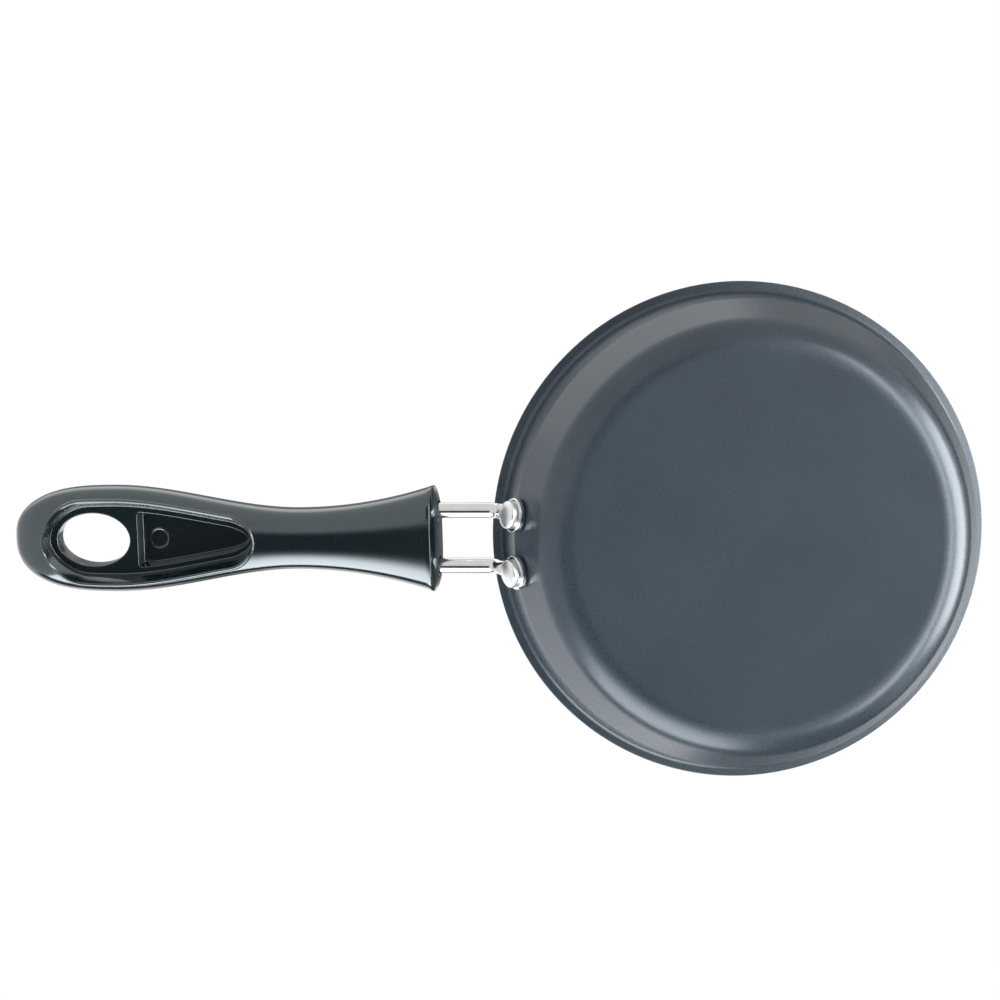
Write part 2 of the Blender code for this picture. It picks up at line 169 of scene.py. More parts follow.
class EGGPAN_PG_pan(bpy.types.PropertyGroup):
    rim_radius: length("Rim radius", "Half the width across the rim", PAN_BOX[1][0])
    height: length("Height", "From the base to the top of the rim", 31.0 * MM)
    sheet: length("Sheet", "Thickness of the pressed sheet", 0.9 * MM)
    base_corner: length("Base corner", "Outer radius between base and wall", 10.5 * MM)
    wall_slope: angle("Wall slope", "Lean of the lower wall from upright", 21.0)
    rim_overhang: length("Rim overhang", "How far the rim stands out past the crease", 4.6 * MM)
    crease_height: length("Crease height", "Height of the crease in the wall", 18.6 * MM)
    crease_rounding: length("Crease rounding", "Outer radius of the crease", 1.4 * MM)
    neck_slope: angle("Neck slope", "Lean of the neck above the crease from upright", 8.6)
    lip_slope: angle("Lip slope", "Rise of the flared lip from level", 12.0)
    lip_bend: length("Lip bend", "Inner radius between neck and lip", 1.6 * MM)


class EGGPAN_PG_handle(bpy.types.PropertyGroup):
    wire: length("Wire", "Thickness of the round wire", 4.3 * MM)
    spacing: length("Spacing", "Distance between the two prongs", 15.6 * MM)
    rise: angle("Rise", "Angle of the handle above level", 16.0)
    roll: angle("Roll", "Small turn of the handle about its own length", 5.0)
    corner: length("Corner", "Radius where a prong turns down the wall", 5.0 * MM)
    drop: length("Drop", "From a rivet down the wall to the prong's corner", 9.5 * MM)
    in_grip: length("Wire in grip", "Straight length of each prong inside the grip", 13.1 * MM)
    turn: length("Turn", "Radius of the bend inside the grip", 7.79 * MM)
    eye: length("Eye", "Width of each pressed eye", 9.6 * MM)
    eye_thickness: length("Eye thickness", "Thickness of each pressed eye", 1.8 * MM)
    eye_shift: length("Eye shift", "How far both eyes sit to one side", 0.9 * MM)
    below_crease: length("Below crease", "From the crease down to the rivets", 1.6 * MM)
    clearance: length("Clearance", "Gap between pieces that touch", 0.3 * MM)


class EGGPAN_PG_rivet(bpy.types.PropertyGroup):
    shank: length("Shank", "Thickness of the rivet's shank", 4.0 * MM)
    outer_width: length("Outer head", "Width of the outer head", 7.8 * MM)
    outer_height: length("Outer height", "Height of the outer head", 2.2 * MM)
    inner_width: length("Inner head", "Width of the head in the bowl", 7.0 * MM)
    inner_height: length("Inner height", "Height of the head in the bowl", 1.3 * MM)
    standoff: length("Standoff", "Gap under the head in the bowl", 0.85 * MM)


class EGGPAN_PG_grip(bpy.types.PropertyGroup):
    length: length("Length", "Length of the grip", 121.8 * MM)
    from_bend: length("From bend", "Free length of the prongs before the grip", 16.2 * MM)
    flare: length("Flare width", "Width at the front end", 29.6 * MM)
    waist: length("Waist width", "Width at the narrowest place", 17.1 * MM)
    tail: length("Tail width", "Width at the tail", 30.3 * MM)
    waist_at: length("Waist at", "Distance of the waist from the front", 40.1 * MM)
    tail_at: length("Tail at", "Distance of the widest tail from the front", 92.1 * MM)
    front_rounding: length("Front rounding", "Length of the rounded front edge", 1.4 * MM)
    flare_below: length("Flare below", "Depth below the wire at the front", 9.2 * MM)
    waist_below: length("Waist below", "Depth below the wire at the waist", 7.7 * MM)
    tail_below: length("Tail below", "Depth below the wire at the tail", 8.6 * MM)
    flare_above: length("Flare above", "Height above the wire at the front", 7.8 * MM)
    waist_above: length("Waist above", "Height above the wire at the waist", 6.4 * MM)
    tail_above: length("Tail above", "Height above the wire at the tail", 5.6 * MM)
    mouth: length("Socket mouth", "Width of each bore's mouth", 5.7 * MM)
    mouth_depth: length("Mouth depth", "Depth of each bore's mouth", 0.8 * MM)
    hole_length: length("Hole length", "Length of the hang hole", 21.0 * MM)
    hole_width: length("Hole width", "Width of the hang hole", 15.1 * MM)
    hole_from_tip: length("Hole from tip", "Middle of the hang hole from the tip", 22.9 * MM)
    recess_length: length("Recess length", "Length of the recess in the underside", 60.8 * MM)
    recess_from_tip: length("Recess from tip", "Gap between recess and tip", 9.3 * MM)
    recess_margin: length("Recess margin", "Width of the edge round the recess", 3.0 * MM)
    recess_floor: length("Recess floor", "Depth of its floor below the wire", 1.6 * MM)
    recess_run: length("Recess wall run", "How far its walls lean inwards", 2.3 * MM)
    pocket_width: length("Pocket width", "Width of the pocket beside the hole", 15.7 * MM)
    pocket_gap: length("Pocket gap", "Web between pocket and hang hole", 2.4 * MM)
    pocket_roof: length("Pocket roof", "Thickness left above the pocket", 2.0 * MM)


class EGGPAN_PG_finish(bpy.types.PropertyGroup):
    coating: colour("Coating", "Colour of the outside coating", (0.048, 0.068, 0.089))
    lining: colour("Lining", "Colour of the non-stick lining", (0.022, 0.023, 0.025))
    wire: colour("Wire", "Colour of the plated wire", (0.62, 0.62, 0.61))
    rivet: colour("Rivets", "Colour of the rivets", (0.78, 0.79, 0.80))
    grip: colour("Grip", "Colour of the moulded grip", (0.0056, 0.0130, 0.0160))
    floor: colour("Floor", "Colour of the studio floor", (0.82, 0.82, 0.82))
    coating_roughness: share("Coating roughness", "Dullness of the coating", 0.29)
    grip_roughness: share("Grip roughness", "Dullness of the grip", 0.14)


class EGGPAN_PG_settings(bpy.types.PropertyGroup):
    pan: PointerProperty(type=EGGPAN_PG_pan, name="Pan", description="Sizes of the pan's shell")
    handle: PointerProperty(type=EGGPAN_PG_handle, name="Handle", description="Sizes of the wire")
    rivet: PointerProperty(type=EGGPAN_PG_rivet, name="Rivets", description="Sizes of the rivets")
    grip: PointerProperty(type=EGGPAN_PG_grip, name="Grip", description="Sizes of the grip")
    finish: PointerProperty(type=EGGPAN_PG_finish, name="Finish", description="Colours")


# Formulas that the pieces share


def unit(vectors):
    """Each vector divided by its own length."""
    return vectors / np.linalg.norm(vectors, axis=-1, keepdims=True)


def ease(t):
    """0 below 0, 1 above 1, and three t squared less two t cubed between them."""
    t = np.clip(t, 0.0, 1.0)
    return t * t * (3.0 - 2.0 * t)


def rounded_path(corners, radii, step=ARC_STEP):
    """Straight runs through the corners, each corner turned into an arc of its radius.

    The arc starts radius times the tangent of half the turn before the corner. Its points are
    the centre plus cosine times the first arm plus sine times the arm square to it.
    """
    corners = np.asarray(corners, float)
    runs = [corners[:1]]
    for before, corner, after, radius in zip(corners, corners[1:], corners[2:], radii):
        arrive, leave = unit(corner - before), unit(after - corner)
        turn = math.acos(min(max(float(arrive @ leave), -1.0), 1.0))
        axis = unit(np.cross(arrive, leave))
        start = corner - arrive * radius * math.tan(turn / 2)
        centre = start + np.cross(axis, arrive) * radius
        arm = start - centre
        swing = np.linspace(0.0, turn, max(3, math.ceil(turn / step) + 1))[:, None]
        runs.append(centre + np.cos(swing) * arm + np.sin(swing) * np.cross(axis, arm))
    return np.vstack(runs + [corners[-1:]])


def travelled(path):
    """Distance along the path at each of its points."""
    return np.concatenate(([0.0], np.cumsum(np.linalg.norm(np.diff(path, axis=0), axis=1))))


def filled_in(path, step):
    """The same path with more points on its long straight runs, a step apart."""
    own = travelled(path)
    extra = np.arange(step, own[-1], step)
    extra = extra[np.abs(extra[:, None] - own[None, :]).min(axis=1) > step / 3]
    stops = np.sort(np.concatenate((own, extra)))
    return np.stack([np.interp(stops, own, path[:, k]) for k in range(path.shape[1])], axis=1)


def mitred(corners, distance, closed=False):
    """Flat corners moved to the left of their lines by a distance, lines kept parallel."""
    corners = np.asarray(corners, float)
    if closed:
        lines = unit(np.roll(corners, -1, axis=0) - corners)
        before, after = np.roll(lines, 1, axis=0), lines
    else:
        lines = unit(np.diff(corners, axis=0))
        before, after = np.vstack((lines[:1], lines)), np.vstack((lines, lines[-1:]))
    left = np.stack((-(before + after)[:, 1], (before + after)[:, 0]), axis=1)
    reach = 1.0 + (before * after).sum(axis=1, keepdims=True)
    return corners + left / reach * distance


def turned(profile, sides, place=None):
    """A profile of (radius, height) points turned about Z: radius times cosine and sine."""
    swing = np.linspace(0.0, 2.0 * math.pi, sides, endpoint=False)
    radius, height = profile[:, :1], profile[:, 1:2]
    grid = np.stack((radius * np.cos(swing), radius * np.sin(swing),
                     np.broadcast_to(height, (len(profile), sides))), axis=-1)
    return grid if place is None else placed(grid, place)


def placed(points, place):
    """Points of a local frame moved into the part's own: origin plus axes times coordinates."""
    origin, axes = place
    return origin + points @ axes


def net(grid, closed=True):
    """Four-sided faces over a grid of points; a closed grid's last column meets its first."""
    rows, columns = grid.shape[:2]
    index = np.arange(rows * columns).reshape(rows, columns)
    if closed:
        index = np.hstack((index, index[:, :1]))
    faces = np.stack((index[:-1, :-1], index[:-1, 1:], index[1:, 1:], index[1:, :-1]), axis=-1)
    return grid.reshape(-1, 3), faces.reshape(-1, 4)


def within(points, loop):
    """Whether each flat point is inside a loop: a level ray from it crosses the loop oddly."""
    start, end = loop[None], np.roll(loop, -1, axis=0)[None]
    x, y = points[:, :1], points[:, 1:]
    spans = (start[..., 1] > y) != (end[..., 1] > y)
    fall = np.where(spans, end[..., 1] - start[..., 1], 1.0)
    crossing = start[..., 0] + (y - start[..., 1]) * (end[..., 0] - start[..., 0]) / fall
    return (spans & (x < crossing)).sum(axis=1) % 2 == 1


def flat_fill(loops, axis):
    """Triangles inside the first loop and outside the others, in a plane square to an axis."""
    level = loops[0][0, axis]
    loops = [np.delete(loop, axis, axis=1) for loop in loops]
    flat = np.vstack(loops)
    edges, first = [], 0
    for loop in loops:
        here = np.arange(first, first + len(loop))
        edges += np.stack((here, np.roll(here, -1)), axis=1).tolist()
        first += len(loop)
    result = delaunay_2d_cdt([Vector(p) for p in flat.tolist()], edges, [], 1, TINY)
    points, faces = np.array([tuple(p) for p in result[0]]), np.array(result[2])
    middles = points[faces].mean(axis=1)
    kept = within(middles, loops[0])
    for loop in loops[1:]:
        kept &= ~within(middles, loop)
    return np.insert(points, axis, level, axis=1), faces[kept]


def put(name, data):
    """A new object in the scene."""
    thing = bpy.data.objects.new(name, data)
    bpy.context.collection.objects.link(thing)
    return thing


def closed_skin(name, sheets, materials, body="root"):
    """One closed mesh from sheets of (points, faces, material number) that share their edges."""
    points, faces, finish, first = [], [], [], 0
    for sheet_points, sheet_faces, number in sheets:
        points.append(sheet_points)
        faces += (sheet_faces + first).tolist()
        finish += [number] * len(sheet_faces)
        first += len(sheet_points)
    mesh = bpy.data.meshes.new(name)
    mesh.from_pydata(np.vstack(points).tolist(), [], faces)
    mesh.polygons.foreach_set("material_index", finish)
    bm = bmesh.new()
    bm.from_mesh(mesh)
    bmesh.ops.remove_doubles(bm, verts=bm.verts, dist=WELD)
    bmesh.ops.recalc_face_normals(bm, faces=bm.faces)
    loose = sum(1 for edge in bm.edges if len(edge.link_faces) != 2)
    bm.to_mesh(mesh)
    bm.free()
    if loose:
        raise RuntimeError(f"{name} isn't closed: {loose} loose edges")
    mesh.shade_smooth()
    for material in materials:
        mesh.materials.append(material)
    piece = put(name, mesh)
    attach(piece, body)
    return piece


# Places that the pieces share


def wall_point(pan, below_crease):
    """Radius and height on the outer side of the lower wall, along its slope."""
    return (pan.rim_radius - pan.rim_overhang - below_crease * math.sin(pan.wall_slope),
            pan.crease_height - below_crease * math.cos(pan.wall_slope))


def wall_place(pan, handle, side):
    """Origin under one rivet, with axes across the wall, up it and straight out of it."""
    radius, height = wall_point(pan, handle.below_crease)
    azimuth = math.asin((side * handle.spacing / 2 + handle.eye_shift) / radius)
    out = np.array((-math.cos(azimuth), math.sin(azimuth), 0.0))
    rise = np.array((0.0, 0.0, 1.0))
    normal = out * math.cos(pan.wall_slope) - rise * math.sin(pan.wall_slope)
    uphill = out * math.sin(pan.wall_slope) + rise * math.cos(pan.wall_slope)
    return out * radius + rise * height, np.array((np.cross(uphill, normal), uphill, normal))


def handle_axes(handle):
    """The handle's own directions: out along it, across it and square up from it."""
    along = np.array((-math.cos(handle.rise), 0.0, math.sin(handle.rise)))
    level = np.array((math.sin(handle.rise), 0.0, math.cos(handle.rise)))
    up = math.cos(handle.roll) * level - math.sin(handle.roll) * np.cross(along, level)
    return np.array((along, np.cross(up, along), up))


def wire_corner(pan, handle):
    """Where the straight prongs meet the run down the wall, in the middle plane."""
    radius, height = wall_point(pan, handle.below_crease - handle.drop)
    stand = handle.clearance + handle.eye_thickness / 2
    return np.array((-radius - stand * math.cos(pan.wall_slope), 0.0,
                     height - stand * math.sin(pan.wall_slope)))


def grip_place(settings):
    """Origin in the middle of the grip's front face, with the handle's own axes."""
    axes = handle_axes(settings.handle)
    return wire_corner(settings.pan, settings.handle) + axes[0] * settings.grip.from_bend, axes


# Pan shell


def shell_profile(pan):
    """Outline of the sheet, from under the base's middle over the rim to the floor's middle.

    The inner side is the outer side's corners moved inwards by the sheet, with radii that are
    smaller where the sheet bends outwards and larger where it bends inwards.
    """
    crease_radius = pan.rim_radius - pan.rim_overhang
    neck, lip = math.tan(pan.neck_slope), math.tan(pan.lip_slope)
    edge_height = pan.height - pan.sheet
    rise = (edge_height - pan.crease_height - pan.rim_overhang * lip) / (1.0 - neck * lip)
    outer = [(0.0, 0.0), wall_point(pan, pan.crease_height / math.cos(pan.wall_slope)),
             (crease_radius, pan.crease_height),
             (crease_radius + rise * neck, pan.crease_height + rise),
             (pan.rim_radius, edge_height)]
    inner = mitred(outer, pan.sheet)
    corners = np.insert(np.vstack((outer, inner[::-1])), 1, 0.0, axis=1)
    radii = [pan.base_corner, pan.crease_rounding, pan.lip_bend, SHEET_EDGE, SHEET_EDGE,
             pan.lip_bend + pan.sheet, pan.crease_rounding - pan.sheet,
             pan.base_corner - pan.sheet]
    return filled_in(rounded_path(corners, radii, ARC_STEP / 2)[:, (0, 2)], SHELL_STEP)


def make_shell(settings, coating, lining):
    """The sheet's outline turned about Z; the lining starts at the rim's top edge."""
    profile = shell_profile(settings.pan)
    rim = int(np.argmax(profile[:, 0] + profile[:, 1]))
    outside = net(turned(profile[:rim + 1], PAN_SIDES))
    inside = net(turned(profile[rim:], PAN_SIDES))
    return closed_skin("pan_shell", [(*outside, 0), (*inside, 1)], [coating, lining])


# Handle wire


def half_wire_path(settings, side):
    """Centre line from one eye's far edge to the middle of the bend inside the grip.

    It runs straight in the eye's plane past its middle, then down the wall to the corner, out
    along the handle and round a quarter turn.
    """
    pan, handle, grip = settings.pan, settings.handle, settings.grip
    origin, wall = wall_place(pan, handle, side)
    along, across, _ = handle_axes(handle)
    eye = origin + wall[2] * (handle.clearance + handle.eye_thickness / 2)
    offset = across * -side * handle.spacing / 2
    bend = wire_corner(pan, handle) + offset
    end = bend + along * (grip.from_bend + handle.in_grip + handle.spacing / 2)
    down = bend - eye
    down = unit(down - wall[2] * (down @ wall[2]))
    radius = handle.eye / 2
    edge = eye - down * radius * np.cos(np.linspace(0.0, math.pi / 2, EYE_POINTS))[:, None]
    rest = rounded_path([eye, eye + down * EYE_RUN, bend, end, end - offset],
                        [EYE_TURN, handle.corner, handle.turn])
    return np.vstack((edge, filled_in(rest, WIRE_STEP)[1:])), wall, down


def wire_directions(handle, tangent, past, wall, down):
    """Directions across each section of the wire and up through it, both square to the path.

    Across starts in the eye's plane and eases into the handle's own direction over the run down
    the wall. Up is the path's direction crossed with it, and the handle's own on the prongs.
    """
    _, across, up = handle_axes(handle)
    eye_side = np.cross(wall[2], down)
    level = across if across @ eye_side > 0.0 else -across
    turn_down = ease((past - handle.eye / 2) / (2.0 * handle.drop))[:, None]
    sideways = unit(eye_side * (1.0 - turn_down) + level * turn_down)
    rise = unit(np.cross(tangent, sideways))
    straight = past > handle.drop + 2.0 * handle.corner
    rise[straight] = up if up @ rise[np.argmax(straight)] > 0.0 else -up
    return unit(np.cross(rise, tangent)), rise


def half_wire(settings, side):
    """Sections carried along one half of the wire.

    A section is a rectangle with rounded corners, whose half width, half height and corner
    radius run from the pressed end's to the round wire's. Over the eye it is the slice through
    a disc with a rounded edge: half width is the root of radius squared less distance squared.
    The wider of the two counts, through a sum of eighth powers.
    """
    handle = settings.handle
    path, wall, down = half_wire_path(settings, side)
    gone = travelled(path)
    radius, rod = handle.eye / 2, handle.wire / 2
    past = gone - radius
    tangent = unit(np.gradient(path, gone, axis=0))
    sideways, rise = wire_directions(handle, tangent, past, wall, down)

    pressed = ease((past - PRESS_START) / PRESS_LENGTH)[:, None]
    flat, narrow = handle.eye_thickness / 2, PRESSED_WIDTH / 2
    high = flat + (rod - flat) * pressed
    wide = (narrow + (rod - narrow) * pressed) * ease(1.0 + past / radius)[:, None]
    corner = np.minimum(EYE_EDGE + (rod - EYE_EDGE) * pressed, wide)
    quarter = (np.arange(QUADRANT_POINTS) + 0.5) / QUADRANT_POINTS * math.pi / 2
    cosine, sine = np.cos(quarter), np.sin(quarter)
    far = np.abs(past)[:, None]
    ring = radius - EYE_EDGE + EYE_EDGE * cosine
    lean = np.clip((np.maximum(ring, far) - radius + EYE_EDGE) / EYE_EDGE, 0.0, 1.0)
    disc_wide = np.sqrt(np.maximum(ring ** 2 - far ** 2, 0.0))
    disc_high = flat - EYE_EDGE + EYE_EDGE * np.sqrt(1.0 - lean ** 2)
    rod_wide = wide - corner + corner * cosine
    rod_high = high - corner + corner * sine
    in_rod = ease((past - radius + EYE_EDGE) / EYE_EDGE)[:, None]
    half = (disc_wide ** EYE_BLEND + rod_wide ** EYE_BLEND) ** (1.0 / EYE_BLEND)
    tall = np.where(past[:, None] < 0.0, disc_high, disc_high + (rod_high - disc_high) * in_rod)
    ring_wide = np.concatenate((half, -half[:, ::-1], -half, half[:, ::-1]), axis=1)
    ring_high = np.concatenate((tall, tall[:, ::-1], -tall, -tall[:, ::-1]), axis=1)
    return (path[:, None] + sideways[:, None] * ring_wide[..., None]
            + rise[:, None] * ring_high[..., None])


def make_wire(settings, plated):
    """Both halves of the wire, joined where they meet in the bend inside the grip."""
    halves = [(*net(half_wire(settings, side)), 0) for side in (-1.0, 1.0)]
    return closed_skin("handle_rods", halves, [plated])


# Rivets


def head_profile(radius, foot, height, fall):
    """A dome with steep sides: radius times sine, height times cosine to a small power.

    The steps are gathered near the rim, where the height falls fastest.
    """
    swing = math.pi / 2 * (1.0 - (1.0 - np.linspace(0.0, 1.0, DOME_POINTS)) ** (1.0 / fall))
    return np.stack((radius * np.sin(swing), foot + height * np.cos(swing) ** fall), axis=1)


def make_rivet(settings, side, name, aluminium):
    """One rivet turned about its own axis, from the outer head's top to the inner head's."""
    handle, rivet, pan = settings.handle, settings.rivet, settings.pan
    seat = 2.0 * handle.clearance + handle.eye_thickness
    under = -pan.sheet - rivet.standoff
    outer = head_profile(rivet.outer_width / 2, seat, rivet.outer_height, OUTER_HEAD_FALL)
    inner = head_profile(rivet.inner_width / 2, under, -rivet.inner_height, INNER_HEAD_FALL)
    shank = np.array(((rivet.shank / 2, seat), (rivet.shank / 2, under)))
    profile = np.vstack((outer, shank, inner[::-1]))
    profile[[0, -1], 0] = 0.0
    place = wall_place(pan, handle, side)
    return closed_skin(name, [(*net(turned(profile, RIVET_SIDES, place)), 0)], [aluminium])


# Grip, in its own frame: X out along the handle from its front face, Z square up


def along_grip(grip, x, at_flare, at_waist, at_tail):
    """A size that falls with the square of the way to the waist and eases up to the tail."""
    back = np.maximum(grip.waist_at - np.maximum(x, grip.front_rounding), 0.0)
    front = at_waist + (at_flare - at_waist) * (back / (grip.waist_at - grip.front_rounding)) ** 2
    rear = (at_tail - at_waist) * ease((x - grip.waist_at) / (grip.tail_at - grip.waist_at))
    return front + rear


def front_inset(grip, x):
    """How far the rounded front edge draws in: a power of the way left to its inner end."""
    return FRONT_INSET * np.maximum(0.0, 1.0 - x / grip.front_rounding) ** FRONT_INSET_POWER


def nose(grip, x, power, root):
    """1 up to the tail's widest place, then one less a power of the way to the tip, rooted."""
    way = np.clip((x - grip.tail_at) / (grip.length - grip.tail_at), 0.0, 1.0)
    return np.maximum(0.0, 1.0 - way ** power) ** root


def half_width(grip, x):
    """Half the grip's width, less the front edge's rounding and drawn in round the tip."""
    width = along_grip(grip, x, grip.flare, grip.waist, grip.tail) / 2
    return (width - front_inset(grip, x)) * nose(grip, x, NOSE_POWER, NOSE_ROOT)


def off_wire(grip, x, *sizes):
    """Distance of the skin from the wire's plane, drawn in as the half width is, but less."""
    full = along_grip(grip, x, *sizes) - FRONT_SQUAT * front_inset(grip, x)
    return full * nose(grip, x, NOSE_TAPER, NOSE_TAPER_ROOT)


def depth_below(grip, x):
    """The skin's distance under the wire's plane."""
    return off_wire(grip, x, grip.flare_below, grip.waist_below, grip.tail_below)


def height_above(grip, x):
    """The skin's distance over the wire's plane."""
    return off_wire(grip, x, grip.flare_above, grip.waist_above, grip.tail_above)


def skin_height(grip, x, y, tall):
    """Height of the oval section: tall times the root of one less a power of the way across."""
    across = np.clip(np.abs(y) / half_width(grip, x), 0.0, 1.0)
    return tall * (1.0 - across ** SECTION_POWER) ** (1.0 / SECTION_POWER)


def middle_line(grip, x):
    """Where the recess, hole and pocket have their middle: a little to one side."""
    return FEATURE_SHIFT * half_width(grip, x) / (grip.tail / 2)


def hole_centre(grip):
    """Distance of the hang hole's middle from the grip's front face."""
    return grip.length - grip.hole_from_tip


def hole_half(grip, x, grown):
    """Half width of the hang hole's ellipse, grown on every side, at a place along the grip."""
    way = (x - hole_centre(grip)) / (grip.hole_length / 2 + grown)
    return (grip.hole_width / 2 + grown) * np.sqrt(np.clip(1.0 - way ** 2, 0.0, 1.0))


def recess_ends(grip, inset):
    """Both ends of the recess's outline, moved inwards; the walls are steeper at both ends."""
    tail = grip.length - grip.recess_from_tip
    at_front = np.where(inset > 0.0, inset * RECESS_FRONT_SHARE, inset)
    at_tail = np.where(inset > 0.0, inset * RECESS_TAIL_SHARE, inset)
    return tail - grip.recess_length + at_front, tail - at_tail


def recess_half(grip, x, inset):
    """Half width of the recess: the grip's own less a margin, times a circle's at both ends."""
    front, tail = recess_ends(grip, inset)
    near = np.clip((x - front) / RECESS_FRONT_ROUNDING, 0.0, 1.0)
    far = np.clip((tail - x) / RECESS_TAIL_ROUNDING, 0.0, 1.0)
    full = half_width(grip, x) - grip.recess_margin - inset
    return full * np.sqrt(1.0 - (1.0 - near) ** 2) * np.sqrt(1.0 - (1.0 - far) ** 2)


def bowed(start, end, count, swing=math.pi / 2):
    """Places from start to end that lie as the cosines of equal angles do.

    A quarter turn gathers them at the start alone, and a half turn at both ends.
    """
    way = (1.0 - np.cos(np.linspace(0.0, swing, count))) / (1.0 - math.cos(swing))
    return start + (end - start) * way


def grip_stations(grip):
    """Places along the grip where its sections stand, close together where its edges turn."""
    front, tail = (float(v) for v in recess_ends(grip, -BEAD_OVERLAP))
    hole = hole_centre(grip)
    half = grip.hole_length / 2 + HOLE_TOP_ROUNDING
    edge, neck, curve, web, opening, behind, tip = GRIP_RUNS
    way = 1.0 - (1.0 - np.linspace(0.0, 1.0, tip)) ** (1.0 / NOSE_ROOT)
    runs = [
        bowed(0.0, grip.front_rounding, edge),
        np.linspace(grip.front_rounding, front, neck),
        bowed(front, front + RECESS_FRONT_ROUNDING, curve),
        np.linspace(front + RECESS_FRONT_ROUNDING, hole - half, web),
        bowed(hole - half, hole + half, opening, math.pi),
        bowed(hole + half, tail, behind, math.pi),
        tail + (grip.length - tail) * way,
    ]
    return np.concatenate([runs[0]] + [run[1:] for run in runs[1:]])


def section_angle(grip, x, y):
    """Angle of the section's point at a place across: arc cosine of its share to half a power."""
    way = np.clip(y / np.maximum(half_width(grip, x), TINY), -1.0, 1.0)
    return np.arccos(np.sign(way) * np.abs(way) ** (SECTION_POWER / 2))


def half_skin(grip, side):
    """One side of the grip's outer skin, from the recess's edge round to the hang hole's.

    Half width times the cosine to a power and height times the sine to it give each section.
    """
    x = grip_stations(grip)
    front, tail = recess_ends(grip, -BEAD_OVERLAP)
    middle = side * middle_line(grip, x)
    inside = (x > front) & (x < tail)
    recess = np.where(inside, recess_half(grip, x, -BEAD_OVERLAP), 0.0)
    low = section_angle(grip, x, middle + recess)
    top = section_angle(grip, x, middle + hole_half(grip, x, HOLE_TOP_ROUNDING))
    t = np.linspace(0.0, 1.0, SKIN_POINTS)
    t = t ** SKIN_GATHERING / (t ** SKIN_GATHERING + (1.0 - t) ** SKIN_GATHERING)
    swing = np.concatenate((-low[:, None] * (1.0 - t), top[:, None] * t[1:]), axis=1)
    cosine, sine = np.cos(swing), np.sin(swing)
    wide = half_width(grip, x)[:, None]
    tall = np.where(sine > 0.0, height_above(grip, x)[:, None], depth_below(grip, x)[:, None])
    y = side * wide * np.sign(cosine) * np.abs(cosine) ** (2.0 / SECTION_POWER)
    z = tall * np.sign(sine) * np.abs(sine) ** (2.0 / SECTION_POWER)
    return np.stack((np.broadcast_to(x[:, None], y.shape), y, z), axis=-1)


def recess_rows(grip):
    """Bead and wall round the recess: a profile of (inset, depth) carried round its outline.

    The share of the full depth that a point has takes it from the skin to the level floor, and
    the bead stands out past the skin.
    """
    corners = [(-BEAD_OVERLAP, 0.0), (-BEAD_TOP, -BEAD_HEIGHT), (0.0, -BEAD_HEIGHT), BEAD_FOOT,
               (grip.recess_run, RECESS_DEPTH), (grip.recess_run + RECESS_FOOT, RECESS_DEPTH)]
    profile = rounded_path(np.insert(corners, 1, 0.0, axis=1),
                           [BEAD_ROUNDING] * 3 + [RECESS_FOOT_ROUNDING], BEAD_ARC_STEP)[:, (0, 2)]
    x = grip_stations(grip)
    front, tail = recess_ends(grip, -BEAD_OVERLAP)
    way = (x[(x >= front - WELD) & (x <= tail + WELD)] - front) / (tail - front)
    inset, depth = profile[:, :1], profile[:, 1:]
    start, end = recess_ends(grip, inset)
    x = start + (end - start) * way
    half = recess_half(grip, x, inset)
    middle = middle_line(grip, x)
    x = np.hstack((x, x[:, -2:0:-1]))
    y = np.hstack((middle + half, (middle - half)[:, -2:0:-1]))
    skin = -skin_height(grip, x, y, depth_below(grip, x))
    into = np.clip(depth / RECESS_DEPTH, 0.0, 1.0)
    z = skin * (1.0 - into) - grip.recess_floor * into + np.minimum(depth, 0.0)
    return np.stack((x, y, z), axis=-1)


def hole_rows(grip):
    """Wall of the hang hole: its ellipse, grown round both edges, from the top to the recess."""
    swing = np.linspace(0.0, 2.0 * math.pi, 2 * (HOLE_RUN - 1), endpoint=False)
    quarter = np.linspace(0.0, math.pi / 2, EDGE_POINTS)
    floor = -grip.recess_floor
    grown = np.concatenate((HOLE_TOP_ROUNDING * (1.0 - np.sin(quarter)),
                            HOLE_EDGE * (1.0 - np.cos(quarter)), [HOLE_MARGIN]))[:, None]
    x = hole_centre(grip) + (grip.hole_length / 2 + grown) * np.cos(swing)
    y = middle_line(grip, x) + (grip.hole_width / 2 + grown) * np.sin(swing)
    top = skin_height(grip, x, y, height_above(grip, x))
    z = np.empty_like(x)
    count = len(quarter)
    z[:count] = top[:count] - HOLE_TOP_ROUNDING * (1.0 - np.cos(quarter))[:, None]
    z[count:2 * count] = floor + HOLE_EDGE * (1.0 - np.sin(quarter))[:, None]
    z[2 * count:] = floor
    return np.stack((x, y, z), axis=-1)


def pocket_outline(grip):
    """The recess's outline moved inwards, up to a straight end with rounded corners."""
    near = hole_centre(grip) - grip.hole_length / 2 - grip.pocket_gap
    inset = float(half_width(grip, near)) - grip.recess_margin - grip.pocket_width / 2
    tip = float(recess_ends(grip, inset)[0])
    x = bowed(tip, near - POCKET_CORNER, POCKET_POINTS)
    y = recess_half(grip, x, inset)
    swing = np.linspace(0.0, math.pi / 2, EDGE_POINTS)[1:]
    x = np.concatenate((x, near - POCKET_CORNER * (1.0 - np.sin(swing))))
    y = np.concatenate((y, y[-1] - POCKET_CORNER * (1.0 - np.cos(swing))))
    return np.stack((np.concatenate((x, x[:0:-1])), np.concatenate((y, -y[:0:-1]))), axis=1)


